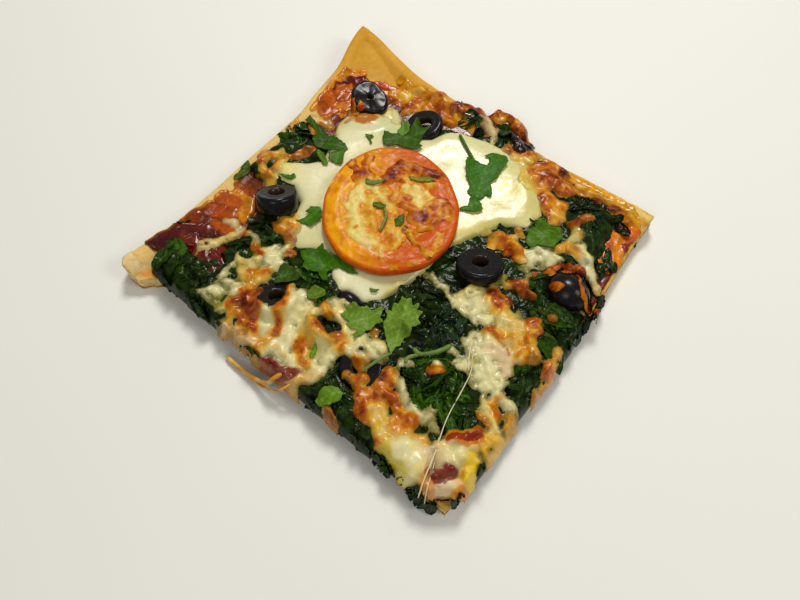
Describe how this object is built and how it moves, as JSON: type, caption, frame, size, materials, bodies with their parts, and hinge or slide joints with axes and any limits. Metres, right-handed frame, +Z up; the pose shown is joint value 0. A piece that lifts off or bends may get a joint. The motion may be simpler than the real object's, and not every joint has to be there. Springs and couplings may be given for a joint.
{
  "type": "pizza slice",
  "caption": "Square corner slice of tray-baked pizza, with crust on two sides and toppings of sauce, spinach, melted cheese, soft mozzarella, tomato, olive rings and coriander.",
  "frame": {"origin": "middle of the slice's box, on the surface that it lies on", "axes": "+Z up, +X from the long crust side towards the cut side, +Y from the front cut towards the other crust side"},
  "size_m": [0.1896, 0.1784, 0.0255],
  "materials": {
    "burnt": "burnt and dry",
    "cheese": "melted, browned in spots",
    "crust": "baked, dry and golden",
    "leaf": "fresh leaf",
    "mozzarella": "soft and satin",
    "olive": "satin black skin and flesh",
    "tomato": "cooked and moist",
    "sauce": "moist tomato sauce",
    "spinach": "wilted and moist",
    "toast": "toasted cheese"
  },
  "bodies": {
    "root": {"burnt_bit": "burnt", "cheese_back_left": "cheese", "cheese_back_lobe": "cheese", "cheese_back_right": "cheese", "cheese_corner": "cheese", "cheese_crust_left": "cheese", "cheese_edge_left": "cheese", "cheese_front": "cheese", "cheese_front_left": "cheese", "cheese_left": "cheese", "cheese_middle": "cheese", "cheese_right": "cheese", "cheese_scrap": "cheese", "crust": "crust", "leaf_1": "leaf", "leaf_10": "leaf", "leaf_11": "leaf", "leaf_12": "leaf", "leaf_13": "leaf", "leaf_14": "leaf", "leaf_15": "leaf", "leaf_16": "leaf", "leaf_2": "leaf", "leaf_3": "leaf", "leaf_4": "leaf", "leaf_5": "leaf", "leaf_6": "leaf", "leaf_7": "leaf", "leaf_8": "leaf", "leaf_9": "leaf", "mozzarella": "mozzarella", "olive_1": "olive", "olive_2": "olive", "olive_3": "olive", "olive_4": "olive", "olive_5": "olive", "olive_6": "olive", "olive_7": "olive", "olive_end_1": "olive", "olive_end_2": "olive", "red_bit_1": "tomato", "red_bit_2": "tomato", "sauce": "sauce", "spinach": "spinach", "spinach_back": "spinach", "spinach_edge": "spinach", "spinach_fold": "spinach", "spinach_middle": "spinach", "spinach_tip_1": "spinach", "spinach_tip_2": "spinach", "stalk_1": "leaf", "stalk_2": "leaf", "strand": "cheese", "toast_back": "toast", "toast_left": "toast", "toast_middle": "toast", "toast_right": "toast", "tomato_slice": "tomato"}
  },
  "joints": []
}
